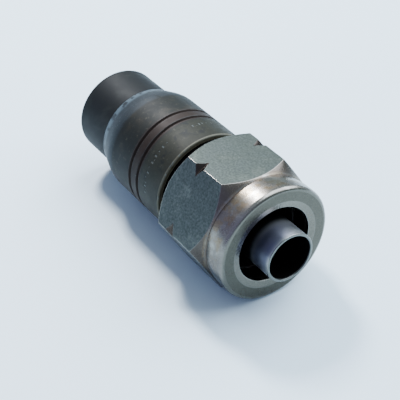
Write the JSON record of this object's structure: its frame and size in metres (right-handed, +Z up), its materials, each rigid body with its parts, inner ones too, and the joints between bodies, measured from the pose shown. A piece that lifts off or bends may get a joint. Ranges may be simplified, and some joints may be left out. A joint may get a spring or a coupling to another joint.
{
  "type": "quick disconnect coupler",
  "caption": "Ball-lock quick disconnect hose coupler: sliding release sleeve, sprung valve, hose tail and notched hexagon union nut.",
  "frame": {"origin": "on the resting surface, below the middle of the coupler's length", "axes": "+X along the coupler's axis from the plug's mouth to the hose end, +Z up out of the nut's top flat; the axis runs at z = 12 mm"},
  "size_m": [0.06, 0.0278, 0.024],
  "materials": {
    "blackened_steel": "matt blackened, worn",
    "gunmetal_steel": "dark gunmetal, satin, bright at worn edges",
    "bare_steel": "bare, finely grained, dulled",
    "turned_steel": "bright turned",
    "hardened_steel": "ground and polished",
    "spring_steel": "drawn wire",
    "brass": "turned",
    "nitrile_rubber": "moulded, matt"
  },
  "bodies": {
    "coupler_body": {"socket_body": "blackened_steel", "hose_adapter": "turned_steel", "plug_seal": "nitrile_rubber", "body_seal": "nitrile_rubber", "valve_guide": "brass", "spring_washer": "turned_steel", "sleeve_spring": "spring_steel", "valve_spring": "spring_steel"},
    "sleeve": {"release_sleeve": "gunmetal_steel"},
    "ball_1": {"lock_ball_1": "hardened_steel"},
    "ball_2": {"lock_ball_2": "hardened_steel"},
    "ball_3": {"lock_ball_3": "hardened_steel"},
    "ball_4": {"lock_ball_4": "hardened_steel"},
    "ball_5": {"lock_ball_5": "hardened_steel"},
    "ball_6": {"lock_ball_6": "hardened_steel"},
    "ball_7": {"lock_ball_7": "hardened_steel"},
    "ball_8": {"lock_ball_8": "hardened_steel"},
    "valve": {"valve_poppet": "brass", "poppet_seal": "nitrile_rubber"},
    "clamp": {"clamp_ring": "turned_steel"},
    "nut": {"hose_nut": "bare_steel"}
  },
  "joints": [
    {"name": "sleeve_slide", "type": "slide", "parent": "coupler_body", "child": "sleeve", "axis": [1, 0, 0], "range_m": [0, 0.002], "stiffness_N_per_m": 2500, "springref_m": -0.004, "deforming": ["sleeve_spring"]},
    {"name": "valve_slide", "type": "slide", "parent": "coupler_body", "child": "valve", "axis": [1, 0, 0], "range_m": [0, 0.0035], "stiffness_N_per_m": 1200, "springref_m": -0.003, "deforming": ["valve_spring"]},
    {"name": "ball_1_lift", "type": "slide", "parent": "coupler_body", "child": "ball_1", "axis": [0, 0, 1], "range_m": [0, 0.00075]},
    {"name": "ball_2_lift", "type": "slide", "parent": "coupler_body", "child": "ball_2", "axis": [0, -0.7071, 0.7071], "range_m": [0, 0.00075]},
    {"name": "ball_3_lift", "type": "slide", "parent": "coupler_body", "child": "ball_3", "axis": [0, -1, 0], "range_m": [0, 0.00075]},
    {"name": "ball_4_lift", "type": "slide", "parent": "coupler_body", "child": "ball_4", "axis": [0, -0.7071, -0.7071], "range_m": [0, 0.00075]},
    {"name": "ball_5_lift", "type": "slide", "parent": "coupler_body", "child": "ball_5", "axis": [0, 0, -1], "range_m": [0, 0.00075]},
    {"name": "ball_6_lift", "type": "slide", "parent": "coupler_body", "child": "ball_6", "axis": [0, 0.7071, -0.7071], "range_m": [0, 0.00075]},
    {"name": "ball_7_lift", "type": "slide", "parent": "coupler_body", "child": "ball_7", "axis": [0, 1, 0], "range_m": [0, 0.00075]},
    {"name": "ball_8_lift", "type": "slide", "parent": "coupler_body", "child": "ball_8", "axis": [0, 0.7071, 0.7071], "range_m": [0, 0.00075]},
    {"name": "nut_travel", "type": "slide", "parent": "coupler_body", "child": "clamp", "axis": [1, 0, 0], "range_m": [0, 0.006]},
    {"name": "nut_turn", "type": "hinge", "parent": "clamp", "child": "nut", "pos_m": [0.0157, 0, 0.012], "axis": [1, 0, 0], "range_deg": [-1440, 0]}
  ],
  "couplings": [
    {"joint": "ball_1_lift", "follows": "sleeve_slide", "ratio": 0.375},
    {"joint": "ball_2_lift", "follows": "sleeve_slide", "ratio": 0.375},
    {"joint": "ball_3_lift", "follows": "sleeve_slide", "ratio": 0.375},
    {"joint": "ball_4_lift", "follows": "sleeve_slide", "ratio": 0.375},
    {"joint": "ball_5_lift", "follows": "sleeve_slide", "ratio": 0.375},
    {"joint": "ball_6_lift", "follows": "sleeve_slide", "ratio": 0.375},
    {"joint": "ball_7_lift", "follows": "sleeve_slide", "ratio": 0.375},
    {"joint": "ball_8_lift", "follows": "sleeve_slide", "ratio": 0.375},
    {"joint": "nut_travel", "follows": "nut_turn", "m_per_rad": -0.00023873}
  ]
}
